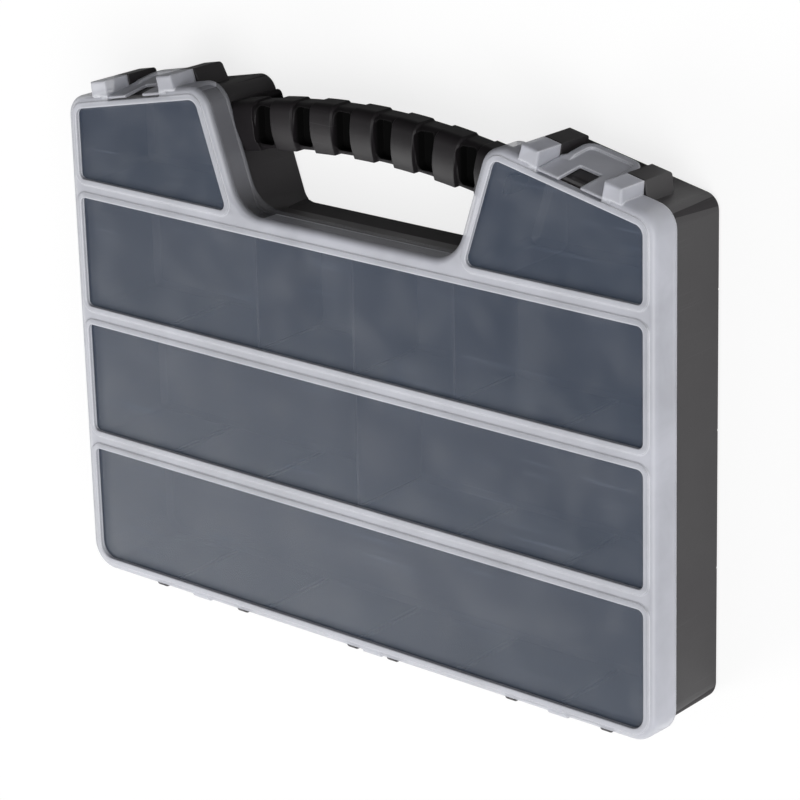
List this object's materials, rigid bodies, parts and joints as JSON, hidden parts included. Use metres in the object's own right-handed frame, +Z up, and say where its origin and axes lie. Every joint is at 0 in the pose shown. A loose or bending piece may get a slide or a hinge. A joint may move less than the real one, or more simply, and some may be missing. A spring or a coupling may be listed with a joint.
{
  "type": "compartment organizer box",
  "caption": "Flat carry case with a see-through hinged lid over rows of small-parts compartments, loose dividers, a handle between raised shoulders and a flap latch on each.",
  "frame": {"origin": "centre of the case's extent, in the plane of the tray's underside that it rests on", "axes": "+X to the side, +Y from the handle towards the hinge edge, +Z up from the tray's underside to the lid"},
  "size_m": [0.32, 0.2448, 0.0475],
  "materials": {
    "tray_plastic": "fine grained black moulding",
    "lid_plastic": "milky see-through moulding",
    "latch_plastic": "milky see-through moulding",
    "handle_plastic": "satin black moulding",
    "divider_plastic": "smooth black moulding"
  },
  "bodies": {
    "case": {"tray": "tray_plastic", "handle": "handle_plastic", "divider_top_row_left": "divider_plastic", "divider_top_row_middle": "divider_plastic", "divider_top_row_right": "divider_plastic", "divider_middle_row": "divider_plastic"},
    "lid": {"lid": "lid_plastic"},
    "latch_left": {"latch_left": "latch_plastic"},
    "latch_right": {"latch_right": "latch_plastic"}
  },
  "joints": [
    {"name": "lid_hinge", "type": "hinge", "parent": "case", "child": "lid", "pos_m": [0, 0.11927, 0.0345], "axis": [-1, 0, 0], "range_deg": [0, 180]},
    {"name": "latch_left_hinge", "type": "hinge", "parent": "lid", "child": "latch_left", "pos_m": [0.11857, -0.11, 0.0458], "axis": [-0.9796, -0.2011, 0], "range_deg": [0, 90]},
    {"name": "latch_right_hinge", "type": "hinge", "parent": "lid", "child": "latch_right", "pos_m": [-0.11857, -0.11, 0.0458], "axis": [-0.9796, 0.2011, 0], "range_deg": [0, 90]}
  ]
}
